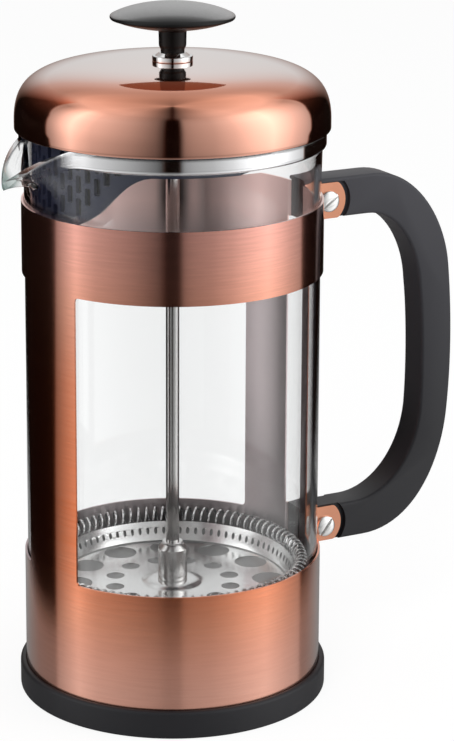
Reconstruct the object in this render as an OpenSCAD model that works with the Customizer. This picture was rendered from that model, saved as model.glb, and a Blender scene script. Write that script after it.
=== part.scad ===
// French press: a glass beaker in a sheet metal sleeve with a side handle,
// a domed lid with a strainer, and a plunger with a spring-edged filter.
// Z is up, the origin is the centre of the foot's underside,
// the handle points along +X and the spout along -X.

/* [Foot] */
// Outer radius of the plastic foot
foot_r = 52; // [51.5:0.1:54]
// Height of the foot's outer lip
foot_h = 9.3; // [8.5:0.1:10]
// Height of the floor that carries the beaker
floor_z = 7; // [6:0.1:7.5]

/* [Sleeve] */
// Outer radius of the sleeve
sleeve_r = 50; // [49.9:0.1:50.1]
// Thickness of the sheet
sheet_t = 0.7; // [0.5:0.05:0.8]
// Height of the sleeve's top edge
sleeve_top = 169.5; // [168:0.5:171]
// Height of the windows' lower edge
sill_z = 48.2; // [46:0.1:50]
// Height of the windows' upper edge
band_z = 145.4; // [143:0.1:147]
// Half of the angle of the slot between the sheet's ends
slot_half_a = 7; // [6.8:0.1:7.4]
// Angle of the front window's edge beside the handle, below the X axis
front_strut_a = 15.5; // [13:0.5:18]
// Angle of the back window's edge beside the handle
back_strut_a = 30.6; // [26:0.2:34]
// Angle at the middle of the strut below the spout
spout_strut_a = 188.1; // [180:0.1:190]
// Width of that strut, as an angle
spout_strut_w = 32.2; // [28:0.2:36]

/* [Handle] */
// Thickness of the handle across its flanks
handle_t = 11.8; // [11:0.1:12.4]
// Top of the upper arm
upper_arm_top = 171.2; // [170.8:0.1:171.6]
// Bottom of the upper arm
upper_arm_bottom = 157.4; // [157:0.1:157.6]
// Top of the lower arm
lower_arm_top = 54.9; // [54.8:0.1:55.4]
// Bottom of the lower arm
lower_arm_bottom = 42.1; // [41.7:0.1:42.2]
// Reach of the grip's outer edge from the axis
grip_reach = 107; // [104:0.5:110]
// Distance of the handle screws from the axis
screw_x = 56.8; // [56:0.1:57.5]
// Diameter of the handle screws' heads
screw_head_d = 7.4; // [6.8:0.1:7.8]
// Diameter of the handle screws' shanks
screw_d = 4; // [3.5:0.1:4.2]

/* [Beaker] */
// Outer radius of the glass
glass_r = 49; // [48.8:0.05:49]
// Thickness of the glass wall
glass_t = 2; // [1.8:0.05:2.05]
// Height of the rim
rim_z = 194; // [193.6:0.1:194.2]
// Outer radius of the rim's bead
rim_r = 50.6; // [50.2:0.1:50.9]
// Reach of the spout's tip from the axis
spout_reach = 63.5; // [62:0.5:65]

/* [Lid] */
// Outer radius of the dome
dome_r = 52; // [51.9:0.1:52.5]
// Height of the dome's lower edge
dome_z = 193.1; // [192.8:0.1:193.4]
// Height of the dome's top
dome_top = 215.2; // [214:0.2:216]
// Thickness of the dome
dome_t = 0.6; // [0.5:0.05:0.7]
// Lowest point of the strainer's tongue
tongue_z = 162; // [160:0.5:164]
// Diameter of the collar on the lid
collar_d = 13.4; // [12.8:0.1:14]

/* [Plunger] */
// Diameter of the plunger's rod
rod_d = 4.5; // [4.3:0.1:4.7]
// Diameter of the knob
knob_d = 41; // [38:0.5:44]
// Height of the knob's top
knob_top = 234.3; // [233:0.1:236]
// Radius of the middle of the spring ring
spring_r = 44.1; // [43.8:0.05:44.2]
// Height of the middle of the spring ring
spring_z = 43.8; // [43.4:0.1:44.2]
// Number of large holes in the spring plate
large_holes = 12; // [8:1:12]
// Number of small holes in the spring plate
small_holes = 12; // [8:1:14]

/* [Hidden] */

$fn = 96;
big = 200;

sleeve_in_r = sleeve_r - sheet_t;
sleeve_bottom = 4.2;
foot_groove_z = 4;
tab_t = sheet_t;
bend_r = 1.6;
sheet_mid_r = sleeve_r - sheet_t / 2;
bend_end_x = (sheet_mid_r + bend_r) * cos(slot_half_a);
tab_mid_y = (sheet_mid_r + bend_r) * sin(slot_half_a) - bend_r;
tab_end_x = 63.2;
tab_arc_r = 8.3;
tab_low = 42.1;
tab_h = 12.4;
upper_tab_low = sleeve_top - tab_h;
root_y = tab_mid_y - tab_t / 2 - 0.05;
root_x = 49.6;
upper_screw_z = upper_tab_low + tab_h / 2 - 0.2;
lower_screw_z = tab_low + tab_h / 2 - 0.9;
pocket_gap = 1.4;
copper = "#b87455";
black = "#2d2d33";
steel = "#c9c9cc";

// Points along a cubic curve from a to d, bent towards b and c.
function curve(a, b, c, d, n = 10) = [
    for (i = [0:n])
        let (t = i / n, u = 1 - t)
        u * u * u * a + 3 * u * u * t * b + 3 * u * t * t * c + t * t * t * d
];

// Points along an arc, for outlines that are turned or extruded.
function arc(cx, cy, r, a0, a1, n = 8) = [
    for (i = [0:n])
        let (a = a0 + (a1 - a0) * i / n)
        [cx + r * cos(a), cy + r * sin(a)]
];

// A plate with a round arc at its far end, lying in the XZ plane from x0 to x1.
module arc_end_plate(x0, x1, z0, h, arc_r, t) {
    sagitta = arc_r - sqrt(arc_r * arc_r - h * h / 4);
    a = asin(h / 2 / arc_r);
    translate([0, t / 2, 0])
        rotate([90, 0, 0])
            linear_extrude(t)
                polygon(concat(
                    [[x0, z0 + h], [x0, z0]],
                    arc(x1 - arc_r, z0 + h / 2, arc_r, -a, a, 12)
                ));
}

// A ring of holes along Z.
module hole_ring(count, pitch_r, d, z, h, first = 0) {
    for (i = [0:count - 1])
        rotate([0, 0, first + i * 360 / count])
            translate([pitch_r, 0, z])
                cylinder(d = d, h = h, $fn = 24);
}

module tube(r_out, r_in, h) {
    difference() {
        cylinder(r = r_out, h = h);
        translate([0, 0, -1])
            cylinder(r = r_in, h = h + 2);
    }
}

// ---- Frame ----

module base() {
    lip_in = sleeve_r + 0.05;
    wall_r = sleeve_in_r - 0.1;
    color(black)
        rotate_extrude()
            polygon(concat(
                [[0, 0], [40, 0], [40.8, 1.6], [45.5, 1.6], [46.3, 0], [foot_r - 1.2, 0]],
                arc(foot_r - 0.9, 0.9, 0.9, -70, 0, 4),
                arc(foot_r - 1.2, foot_h - 1.2, 1.2, 0, 80, 5),
                [[lip_in, foot_h], [lip_in, foot_groove_z]],
                [[wall_r, foot_groove_z], [wall_r, floor_z], [0, floor_z]]
            ));
}

// A wedge that cuts a window into the sheet.
module window_cut(a0, a1) {
    rotate([0, 0, a0])
        rotate_extrude(angle = a1 - a0)
            translate([sleeve_in_r - 2, sill_z])
                square([6, band_z - sill_z]);
}

// One end of the sheet: it bends outwards into a flat tab beside the handle.
// The bend is a hair thinner and longer than its place, so that all three join.
module sheet_end(z0) {
    bend_y = (sheet_mid_r + bend_r) * sin(slot_half_a);
    lap_a = 3;
    bend_t = sheet_t - 0.04;
    translate([bend_end_x, bend_y, z0])
        rotate([0, 0, 180 + slot_half_a - lap_a])
            rotate_extrude(angle = 90 - slot_half_a + lap_a)
                translate([bend_r - bend_t / 2, 0])
                    square([bend_t, tab_h]);
    difference() {
        translate([0, tab_mid_y, 0])
            arc_end_plate(bend_end_x - 0.1, tab_end_x, z0, tab_h, tab_arc_r, tab_t);
        translate([screw_x, tab_mid_y - 2, z0 == tab_low ? lower_screw_z : upper_screw_z])
            rotate([-90, 0, 0])
                cylinder(d = screw_d + 0.3, h = 4, $fn = 48);
    }
}

module sleeve() {
    spout_edge = spout_strut_w / 2;
    color(copper) {
        difference() {
            rotate([0, 0, slot_half_a])
                rotate_extrude(angle = 360 - 2 * slot_half_a, $fn = 180)
                    translate([sleeve_in_r, sleeve_bottom])
                        square([sheet_t, sleeve_top - sleeve_bottom]);
            window_cut(back_strut_a, spout_strut_a - spout_edge);
            window_cut(spout_strut_a + spout_edge, 360 - front_strut_a);
        }
        for (side = [0, 1], z0 = [tab_low, upper_tab_low])
            mirror([0, side, 0])
                sheet_end(z0);
    }
}

// The handle's side view: two level arms joined by a full, slightly bowed grip.
module handle_outline() {
    a = grip_reach;
    outer = concat(
        [[root_x, upper_arm_top]],
        curve([74, upper_arm_top], [91, upper_arm_top], [a - 3.8, 153], [a - 2, 136]),
        curve([a - 2, 136], [a - 0.2, 119], [a + 0.2, 101], [a - 1.4, 84], 6),
        curve([a - 1.4, 84], [a - 3, 64], [93, lower_arm_bottom], [72, lower_arm_bottom]),
        [[root_x, lower_arm_bottom]]
    );
    i = grip_reach - 13;
    inner = concat(
        [[root_x, lower_arm_top]],
        curve([68, lower_arm_top], [80, lower_arm_top], [i - 2, 66], [i, 84]),
        curve([i, 84], [i + 1, 98], [i + 0.6, 118], [i - 1, 130], 6),
        curve([i - 1, 130], [i - 1.8, 143.5], [84, upper_arm_bottom], [72, upper_arm_bottom]),
        [[root_x, upper_arm_bottom]]
    );
    polygon(concat(outer, inner));
}

// The pocket in a flank that a tab lies in, with a little room round its end.
module tab_pocket(z0, z1) {
    translate([0, handle_t / 2, 0])
        arc_end_plate(
            root_x - 2, tab_end_x + pocket_gap, z0, z1 - z0,
            tab_arc_r + pocket_gap, handle_t - 2 * root_y
        );
}

module handle() {
    color(black)
        difference() {
            translate([0, handle_t / 2, 0])
                rotate([90, 0, 0])
                    linear_extrude(handle_t)
                        handle_outline();
            for (side = [0, 1])
                mirror([0, side, 0]) {
                    tab_pocket(lower_arm_bottom - 0.4, lower_arm_top + 0.4);
                    tab_pocket(upper_arm_bottom - 0.4, sleeve_top + 0.4);
                }
            for (z = [lower_screw_z, upper_screw_z])
                translate([screw_x, -handle_t, z])
                    rotate([-90, 0, 0])
                        cylinder(d = screw_d + 0.2, h = 2 * handle_t, $fn = 48);
        }
}

// A slotted screw along +Y whose head sits on the near tab.
module slotted_screw(turn) {
    head_h = 1.5;
    seat = tab_mid_y + tab_t / 2;
    length = 2 * seat + 3.4;
    rotate([-90, 0, 0])
        difference() {
            union() {
                translate([0, 0, -seat - head_h])
                    cylinder(d1 = screw_head_d - 1, d2 = screw_head_d, h = 0.5);
                translate([0, 0, -seat - head_h + 0.5])
                    cylinder(d = screw_head_d, h = head_h - 0.5);
                translate([0, 0, -seat])
                    cylinder(d = screw_d, h = length);
            }
            rotate([0, 0, turn])
                translate([-big / 2, -0.6, -seat - head_h - 1])
                    cube([big, 1.2, 1.8]);
        }
}

module handle_screws() {
    color(steel) {
        translate([screw_x, 0, upper_screw_z])
            slotted_screw(35);
        translate([screw_x, 0, lower_screw_z])
            slotted_screw(52);
    }
}

module handle_nuts() {
    seat = tab_mid_y + tab_t / 2;
    nut_h = 3;
    color(steel)
        for (z = [lower_screw_z, upper_screw_z])
            translate([screw_x, seat, z])
                rotate([-90, 0, 0])
                    difference() {
                        cylinder(d = 7.6, h = nut_h, $fn = 6);
                        translate([0, 0, -1])
                            cylinder(d = screw_d + 0.1, h = nut_h + 2, $fn = 48);
                    }
}

// ---- Beaker ----

spout_z = 188.2;
spout_root_r = 16.5;
spout_drop = 8.8;
spout_root_x = 48;
spout_end_x = 67;
spout_end_r = 6.2;

// A cone lying along -X whose lower side is the underside of the spout.
module spout_cone(shrink) {
    translate([-40, 0, spout_z])
        rotate([0, -90, 0])
            cylinder(
                r1 = spout_root_r + 5.2 - shrink,
                r2 = spout_end_r - shrink,
                h = spout_end_x - 40
            );
}

// Everything below the spout's lip, which slopes down to the tip.
module below_lip() {
    slope = atan(spout_drop / (spout_reach - spout_root_x));
    translate([-spout_root_x, 0, rim_z - 4.2])
        rotate([0, -slope, 0])
            translate([-big / 2, -big / 2, -big])
                cube([big, big, big]);
}

module beaker() {
    in_r = glass_r - glass_t;
    base_r = 9;
    bottom = floor_z + 0.05;
    outline = concat(
        [[0, bottom]],
        arc(glass_r - base_r, bottom + base_r, base_r, -90, 0, 10),
        [[glass_r, 178], [glass_r + 0.3, 186.4], [rim_r - 0.4, 187.2]],
        [[rim_r, 188.8], [rim_r, rim_z - 2]],
        arc(rim_r - 1.6, rim_z - 1.6, 1.6, 0, 90, 5),
        [[0, rim_z]]
    );
    cavity = concat(
        [[0, bottom + 3]],
        arc(in_r - base_r + 1, bottom + 2 + base_r, base_r - 1, -84, 0, 10),
        [[in_r, 184], [in_r + 1.2, rim_z - 2]],
        [[in_r + 2.2, rim_z + 0.01], [in_r + 2.2, rim_z + 3], [0, rim_z + 3]]
    );
    color("#dfe8e8", 0.35)
        difference() {
            union() {
                rotate_extrude($fn = 180)
                    polygon(outline);
                intersection() {
                    spout_cone(0);
                    below_lip();
                    translate([-spout_reach - 5, -30, 168])
                        cube([spout_reach - 36, 60, 26]);
                }
            }
            rotate_extrude($fn = 180)
                polygon(cavity);
            intersection() {
                spout_cone(glass_t);
                translate([-80, -30, 160])
                    cube([38, 60, 60]);
            }
            difference() {
                translate([-80, -15.5, 180])
                    cube([38, 31, 40]);
                below_lip();
            }
        }
}

// ---- Lid ----

dome_side_z = 196.2;

// The dome's outline, moved inwards by t along its own normal.
function dome_side(t) =
    let (
        a = [dome_r, dome_side_z], b = [dome_r, dome_side_z + 17.6],
        c = [39.5, dome_top], d = [0, dome_top], n = 28
    ) [
        for (i = [0:n])
            let (
                s = i / n, u = 1 - s,
                p = u * u * u * a + 3 * u * u * s * b + 3 * u * s * s * c + s * s * s * d,
                v = u * u * (b - a) + 2 * u * s * (c - b) + s * s * (d - c),
                w = v / norm(v)
            )
            [p[0] - t * w[1], p[1] + t * w[0]]
    ];

module lid_dome() {
    outer = dome_side(0);
    inner = dome_side(dome_t);
    top_hole = 4.85;
    shell = concat(
        [[dome_r - 0.5, dome_z], [dome_r - 0.1, dome_z + 0.4]],
        [for (p = outer) if (p[0] > top_hole) p],
        [[top_hole, dome_top], [top_hole, dome_top - dome_t]],
        [for (i = [len(inner) - 1:-1:0]) if (inner[i][0] > top_hole) inner[i]],
        [[dome_r - dome_t, dome_z + 0.4]]
    );
    color(copper)
        rotate_extrude($fn = 180)
            polygon(shell);
}

collar_shank_r = 4.8;
collar_bore_r = rod_d / 2 + 0.06;
collar_side_h = 1.7;
collar_cone_h = 1.0;
collar_z = dome_top + 0.05;
collar_top = collar_z + collar_side_h + collar_cone_h;
strainer_roof_z = 196;

module lid_collar() {
    shank_low = 186;
    color(steel)
        rotate_extrude()
            polygon([
                [collar_bore_r, shank_low],
                [collar_shank_r, shank_low],
                [collar_shank_r, collar_z],
                [collar_d / 2, collar_z],
                [collar_d / 2, collar_z + collar_side_h],
                [4.4, collar_top],
                [collar_bore_r, collar_top]
            ]);
}

module lid_washer() {
    color(steel)
        translate([0, 0, strainer_roof_z - 2 - 1.05])
            tube(8, collar_shank_r + 0.05, 1);
}

module lid_nut() {
    h = 4;
    color(steel)
        translate([0, 0, strainer_roof_z - 2 - 1.1 - h])
            difference() {
                cylinder(d = 15, h = h, $fn = 6);
                translate([0, 0, -1])
                    cylinder(r = collar_shank_r + 0.02, h = h + 2);
            }
}

skirt_r = 46.3;
skirt_t = 1.8;
skirt_low = 186;
slot_pitch_a = 4.6;
slot_w = 2.2;
slot_h = 5.6;
slot_row_h = 7.3;

// The strainer's lower edge beside the tongue, as angle and height.
tongue_edge = curve(
    [10, tongue_z], [22, tongue_z + 5.5], [42, 177], [53, skirt_low], 16
);

// A sheet that cuts the skirt's lower edge, seen from the spout.
module below_tongue() {
    right = [for (p = tongue_edge) [skirt_r * sin(p[0]), p[1]]];
    left = [for (i = [len(right) - 1:-1:0]) [-right[i][0], right[i][1]]];
    rotate([0, 0, -90])
        rotate([90, 0, 0])
            translate([0, 0, 15])
                linear_extrude(40)
                    polygon(concat(
                        left, right,
                        [[big / 2, skirt_low], [big / 2, 100], [-big / 2, 100], [-big / 2, skirt_low]]
                    ));
}

module strainer_slots() {
    for (k = [-11:11], row = [0:4]) {
        a = k * slot_pitch_a;
        stagger = abs(k) % 2 * slot_row_h / 2;
        z = tongue_z + 2.4 + stagger + row * slot_row_h;
        if (z > lookup(abs(a) + 2, tongue_edge) + 1.4 && z + slot_h < 193)
            rotate([0, 0, 180 + a])
                translate([skirt_r - skirt_t - 1, -slot_w / 2, z])
                    cube([skirt_t + 2, slot_w, slot_h]);
    }
}

module lid_strainer() {
    tower_r = 8;
    bore_r = collar_shank_r + 0.1;
    roof_t = 2;
    flange_t = 1.4;
    flange_low = rim_z + 0.1;
    tower_top = dome_top - dome_t - 0.02;
    roof = concat(
        [[bore_r, strainer_roof_z - roof_t], [skirt_r - skirt_t, strainer_roof_z - roof_t]],
        [[skirt_r - skirt_t, tongue_z - 2], [skirt_r, tongue_z - 2]],
        [[skirt_r, flange_low], [rim_r - 0.4, flange_low]],
        [[rim_r - 0.4, flange_low + flange_t], [skirt_r - 1, strainer_roof_z]],
        [[tower_r, strainer_roof_z], [tower_r, tower_top - 0.5]],
        [[tower_r - 0.5, tower_top], [bore_r, tower_top]]
    );
    color(black)
        difference() {
            rotate_extrude($fn = 180)
                polygon(roof);
            below_tongue();
            translate([-15, -big / 2, 100])
                cube([big, big, skirt_low - 100]);
            strainer_slots();
        }
}

// ---- Plunger ----

knob_stem_z = collar_top + 0.05;
knob_under = 226;
knob_rim = 229.9;

module knob() {
    r = knob_d / 2;
    stem_r = 4.6;
    socket_r = 3.5;
    socket_top = knob_stem_z + 9.5;
    crown = knob_top - knob_rim - 0.5;
    crown_r = (r * r + crown * crown) / 2 / crown;
    crown_a = asin((r - 0.3) / crown_r);
    color(black)
        rotate_extrude()
            polygon(concat(
                [[socket_r, knob_stem_z], [3.9, knob_stem_z]],
                [[3.9, knob_stem_z + 0.9], [stem_r - 0.1, knob_stem_z + 2.2]],
                curve([stem_r, knob_under - 1], [stem_r + 0.2, knob_under], [12, knob_under], [r - 1.4, knob_rim - 1.2], 8),
                arc(r - 0.8, knob_rim - 0.2, 0.8, -50, 50, 5),
                arc(0, knob_top - crown_r, crown_r, 90 - crown_a, 90, 12),
                [[0, socket_top], [socket_r, socket_top]]
            ));
}

module knob_insert() {
    h = 9.3;
    color("#b99a55")
        translate([0, 0, knob_stem_z + 0.1])
            tube(3.45, rod_d / 2 + 0.03, h);
}

plate_z = 35.3;
plate_t = 0.6;
screen_t = 0.4;
support_t = 0.8;
boss_r = 11;
plate_flat_r = 39.6;
hub_z = plate_z + plate_t + 0.4;
rod_low = 22;

module rod() {
    top = knob_stem_z + 9.2;
    color(steel) {
        translate([0, 0, rod_low])
            cylinder(d1 = rod_d - 1, d2 = rod_d, h = 0.5);
        translate([0, 0, rod_low + 0.5])
            cylinder(d = rod_d, h = top - rod_low - 0.5);
    }
}

module hub_nut() {
    r = 5;
    bore = rod_d / 2 + 0.03;
    shoulder = 47.7;
    color(steel)
        rotate_extrude()
            polygon([
                [bore, hub_z],
                [r - 0.7, hub_z],
                [r, hub_z + 1],
                [r, shoulder],
                [3.7, shoulder + 1.5],
                [bore, shoulder + 1.5]
            ]);
}

module lock_washer() {
    color(steel)
        translate([0, 0, 49.22])
            tube(3.5, rod_d / 2 + 0.04, 0.9);
}

// A turned plate with a raised rim, cut by rings of holes.
module spring_plate() {
    bore = rod_d / 2 + 0.05;
    z = plate_z;
    t = plate_t;
    rim_out = spring_r - 2.4;
    rim_top = 42.3;
    color(steel)
        difference() {
            rotate_extrude()
                polygon([
                    [bore, z + 0.4],
                    [6.5, z + 0.4],
                    [boss_r - 1, z],
                    [plate_flat_r, z],
                    [rim_out, rim_top],
                    [rim_out - 0.7, rim_top],
                    [plate_flat_r - 0.5, z + t],
                    [boss_r - 1, z + t],
                    [6.5, z + t + 0.4],
                    [bore, z + t + 0.4]
                ]);
            hole_ring(large_holes, 33, 11.4, z - 2, 6, -23);
            hole_ring(small_holes, 20.2, 6.2, z - 2, 6, -11);
        }
}

module coil_spring() {
    color(steel)
        translate([0, 0, spring_z])
            rotate_extrude()
                translate([spring_r, 0])
                    circle(r = 2.5, $fn = 32);
}

module mesh_screen() {
    bore = rod_d / 2 + 0.05;
    z = plate_z - screen_t - 0.02;
    edge_top = 39.9;
    color("#a9aaae")
        rotate_extrude()
            polygon([
                [bore, z],
                [plate_flat_r + 0.4, z],
                [spring_r - 1.5, edge_top],
                [spring_r - 2, edge_top],
                [plate_flat_r + 0.1, z + screen_t],
                [bore, z + screen_t]
            ]);
}

module support_plate() {
    bore = rod_d / 2 + 0.05;
    z = plate_z - screen_t - support_t - 0.04;
    color(steel)
        difference() {
            translate([0, 0, z])
                tube(38.5, bore, support_t);
            hole_ring(18, 33, 7, z - 1, 4, 0);
            hole_ring(12, 23.5, 7, z - 1, 4, 15);
            hole_ring(6, 13.5, 5, z - 1, 4, 0);
        }
}

module filter_boss() {
    bore = rod_d / 2 + 0.05;
    z = plate_z - screen_t - support_t - 0.06;
    color(steel)
        rotate_extrude()
            polygon([
                [bore, z - 5],
                [5.5, z - 5],
                [6.5, z - 4],
                [6.5, z - 1.2],
                [9.5, z - 0.8],
                [9.5, z],
                [bore, z]
            ]);
}

module rod_end_nut() {
    h = 3.6;
    z = plate_z - screen_t - support_t - 0.08 - 5 - h;
    color(steel)
        translate([0, 0, z])
            difference() {
                cylinder(d = 9.4, h = h, $fn = 6);
                translate([0, 0, -1])
                    cylinder(d = rod_d + 0.06, h = h + 2);
            }
}

base();
sleeve();
handle();
handle_screws();
handle_nuts();
beaker();
lid_collar();
lid_washer();
lid_nut();
lid_dome();
lid_strainer();
knob();
knob_insert();
rod();
hub_nut();
lock_washer();
spring_plate();
coil_spring();
mesh_screen();
support_plate();
filter_boss();
rod_end_nut();
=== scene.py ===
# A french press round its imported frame: glass beaker, copper sleeve and lid, side handle, plunger.
# Lengths are in millimetres until a piece is finished, and the Z axis is the press's own axis.
import math

import bmesh
import bpy
from mathutils import Matrix, Vector
from mathutils.geometry import interpolate_bezier


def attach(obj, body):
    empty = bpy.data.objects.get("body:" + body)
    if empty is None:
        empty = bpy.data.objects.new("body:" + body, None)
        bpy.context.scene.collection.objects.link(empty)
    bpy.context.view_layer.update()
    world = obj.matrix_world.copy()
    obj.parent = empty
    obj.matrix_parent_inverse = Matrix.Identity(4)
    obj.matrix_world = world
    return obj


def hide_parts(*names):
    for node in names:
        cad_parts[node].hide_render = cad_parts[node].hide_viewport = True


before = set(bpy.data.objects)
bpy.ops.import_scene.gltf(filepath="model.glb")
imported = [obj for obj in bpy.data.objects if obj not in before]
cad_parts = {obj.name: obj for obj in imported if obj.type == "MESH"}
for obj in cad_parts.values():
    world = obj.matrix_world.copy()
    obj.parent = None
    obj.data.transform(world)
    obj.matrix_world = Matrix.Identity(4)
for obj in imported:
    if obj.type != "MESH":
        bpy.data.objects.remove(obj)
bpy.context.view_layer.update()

mm = 0.001
turn = math.tau
sideways = (0.891, -0.454, 0)  # to the viewer's right
forwards = (-0.454, -0.891, 0)  # towards the viewer


# Shader nodes: arithmetic on a wire adds Math nodes, and everything else comes from Paint.node.
class Wire:
    def __init__(self, paint, made, output=0):
        self.paint, self.made = paint, made
        self.socket = made.outputs[output] if made.outputs else None

    def __getitem__(self, output):
        return Wire(self.paint, self.made, output)

    def __add__(self, other):
        return self.paint.maths("ADD", self, other)

    def __radd__(self, other):
        return self.paint.maths("ADD", other, self)

    def __sub__(self, other):
        return self.paint.maths("SUBTRACT", self, other)

    def __rsub__(self, other):
        return self.paint.maths("SUBTRACT", other, self)

    def __mul__(self, other):
        return self.paint.maths("MULTIPLY", self, other)

    def __rmul__(self, other):
        return self.paint.maths("MULTIPLY", other, self)

    def __truediv__(self, other):
        return self.paint.maths("DIVIDE", self, other)


class Paint:
    def __init__(self, tree):
        self.tree = tree
        tree.nodes.clear()

    def node(self, kind, settings=None, values=None):
        made = self.tree.nodes.new("ShaderNode" + kind)
        for name, value in (settings or {}).items():
            if name == "stops":
                elements = made.color_ramp.elements
                while len(elements) < len(value):
                    elements.new(1)
                for element, (place, shade) in zip(elements, value):
                    element.position = place
                    element.color = (*shade, 1) if isinstance(shade, tuple) else (shade, shade, shade, 1)
            else:
                setattr(made, name, value)
        for key, value in (values or {}).items():
            if isinstance(value, Wire):
                self.tree.links.new(value.socket, made.inputs[key])
            else:
                made.inputs[key].default_value = value
        return Wire(self, made)

    def maths(self, operation, *terms, clamp=False):
        return self.node("Math", {"operation": operation, "use_clamp": clamp}, dict(enumerate(terms)))

    def vector(self, operation, *terms):
        return self.node("VectorMath", {"operation": operation}, dict(enumerate(terms)))

    def curve(self, stops, value):
        return self.node("ValToRGB", {"stops": stops}, {"Fac": value})

    def ramp(self, value, start, stop, low=0.0, high=1.0):
        ends = {"From Min": start, "From Max": stop, "To Min": low, "To Max": high}
        return self.node("MapRange", None, {"Value": value, **ends})

    def blend(self, factor, first, second):
        return self.node("Mix", {"data_type": "RGBA"}, {0: factor, 6: first, 7: second})[2]

    def mixed(self, factor, first, second):
        return self.node("MixShader", None, {0: factor, 1: first, 2: second})

    def place(self):
        return self.node("TexCoord")["Object"]

    def split(self):
        return self.node("SeparateXYZ", None, {0: self.place()})

    def facing(self):
        return self.node("LayerWeight", None, {"Blend": 0.5})["Facing"]

    def stretched(self, scale, turned=(0, 0, 0)):
        return self.node("Mapping", None, {"Vector": self.place(), "Scale": scale, "Rotation": turned})

    def noise(self, scale, stretch=(1, 1, 1), detail=3.0):
        values = {"Vector": self.stretched(stretch), "Scale": scale, "Detail": detail}
        return self.node("TexNoise", None, values)

    def bump(self, height, strength, distance):
        return self.node("Bump", None, {"Height": height, "Strength": strength, "Distance": distance})

    def surface(self, shader):
        self.node("OutputMaterial", None, {"Surface": shader})


def newPaint(name):
    material = bpy.data.materials.new(name)
    material.use_nodes = True
    return material, Paint(material.node_tree)


def grey(level):
    return (level, level, level, 1)


# Finishes
print("finishes")

copper = {
    "base": (0.77, 0.37, 0.265, 1),
    "warm": (0.82, 0.40, 0.285, 1),
    "deep": (0.78, 0.29, 0.165, 1),
    # Painted sheen: the copper's colour pales towards this where it is seen at a low angle.
    "pale": (0.85, 0.715, 0.668, 1),
    "shade": (0.20, 0.07, 0.04, 1),
    # Painted light and shade on the sleeve: paler at the foot and rim, deeper in the middle of the posts.
    "heights": [  # the sleeve's tone from foot to rim
        (14, (0.87, 0.45, 0.34)), (24, (0.87, 0.40, 0.28)), (36, (0.84, 0.32, 0.18)),
        (51, (0.76, 0.20, 0.065)), (63, (0.70, 0.15, 0.025)), (75, (0.69, 0.14, 0.02)),
        (96, (0.69, 0.165, 0.045)), (116, (0.71, 0.20, 0.08)), (131, (0.745, 0.28, 0.165)),
        (143, (0.83, 0.36, 0.24)), (150, (0.87, 0.385, 0.28)), (158, (0.87, 0.40, 0.31)),
        (168, (0.85, 0.40, 0.33))],
    "tallest": 200,
    # Painted shade: the tabs past the bend are a deeper copper.
    "tab": (0.60, 0.26, 0.155, 1), "tabFrom": (0.0515, 0.053),
    "brushScale": (9, 9, 2600), "brushRoughness": 0.13, "brushSpread": 0.65,
    "streakScale": (65, 65, 1500), "streakRange": (0.38, 0.66), "streakDepth": 0.09,
    "sheetPales": [(0.62, 0.0), (0.95, 1.0)],
    "lidScale": (14, 14, 1800), "lidRoughness": 0.05, "shoulder": (0.2045, 0.2105),
    "lidPales": [(0.57, 0.0), (0.65, 0.14), (0.72, 0.6), (0.78, 0.9), (0.84, 1.0)],
}


def makeCopperBrushed():
    material, paint = newPaint("copperBrushed")
    lines = paint.noise(1.0, copper["brushScale"], 2.0)
    cloud = paint.noise(22.0, detail=2.0)
    spot = paint.split()
    # Painted light and shade by height, from the list above.
    stops = [(z / copper["tallest"], shade) for z, shade in copper["heights"]]
    tone = paint.curve(stops, spot["Z"] / (copper["tallest"] * mm))
    tone = paint.blend(0.3 * lines + 0.06 * cloud, tone, copper["warm"])
    streak = paint.ramp(paint.noise(1.0, copper["streakScale"], 3.0), *copper["streakRange"])
    tone = paint.blend(copper["streakDepth"] * streak, tone, copper["shade"])
    # Painted sheen: the copper's colour pales where it is seen at a low angle.
    tone = paint.blend(paint.curve(copper["sheetPales"], paint.facing()), tone, copper["pale"])
    # Painted shade on the tabs past the bend.
    shader = paint.node("BsdfPrincipled", None, {
        "Base Color": paint.blend(paint.ramp(spot["X"], *copper["tabFrom"]), tone, copper["tab"]),
        "Metallic": 1.0,
        "Roughness": copper["brushRoughness"] + 0.04 * lines,
        "Anisotropic": copper["brushSpread"],
        "Anisotropic Rotation": 0.25,
        "Coat Weight": 0.5,
        "Coat Roughness": 0.06,
        "Coat IOR": 1.55,
        "Normal": paint.bump(lines, 0.1, 0.00001),
    })
    paint.surface(shader)
    return material


def makeCopperPolished():
    material, paint = newPaint("copperPolished")
    smudge = paint.noise(30.0, detail=4.0)
    lines = paint.noise(1.0, copper["lidScale"], 2.0)
    tone = paint.blend(smudge, copper["base"], copper["warm"])
    # Painted shade: the crown above the shoulder is a deeper copper.
    tone = paint.blend(paint.ramp(paint.split()["Z"], *copper["shoulder"]), tone, copper["deep"])
    # Painted sheen: the lacquered copper's colour pales where it is seen at a low angle.
    low = paint.curve(copper["lidPales"], paint.facing())
    shader = paint.node("BsdfPrincipled", None, {
        "Base Color": paint.blend(low, tone, copper["pale"]),
        "Metallic": 1.0,
        "Roughness": copper["lidRoughness"] + 0.02 * smudge + 0.02 * lines,
        "Coat Weight": 0.8,
        "Coat Roughness": 0.04,
        "Coat IOR": 1.55,
    })
    paint.surface(shader)
    return material


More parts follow.
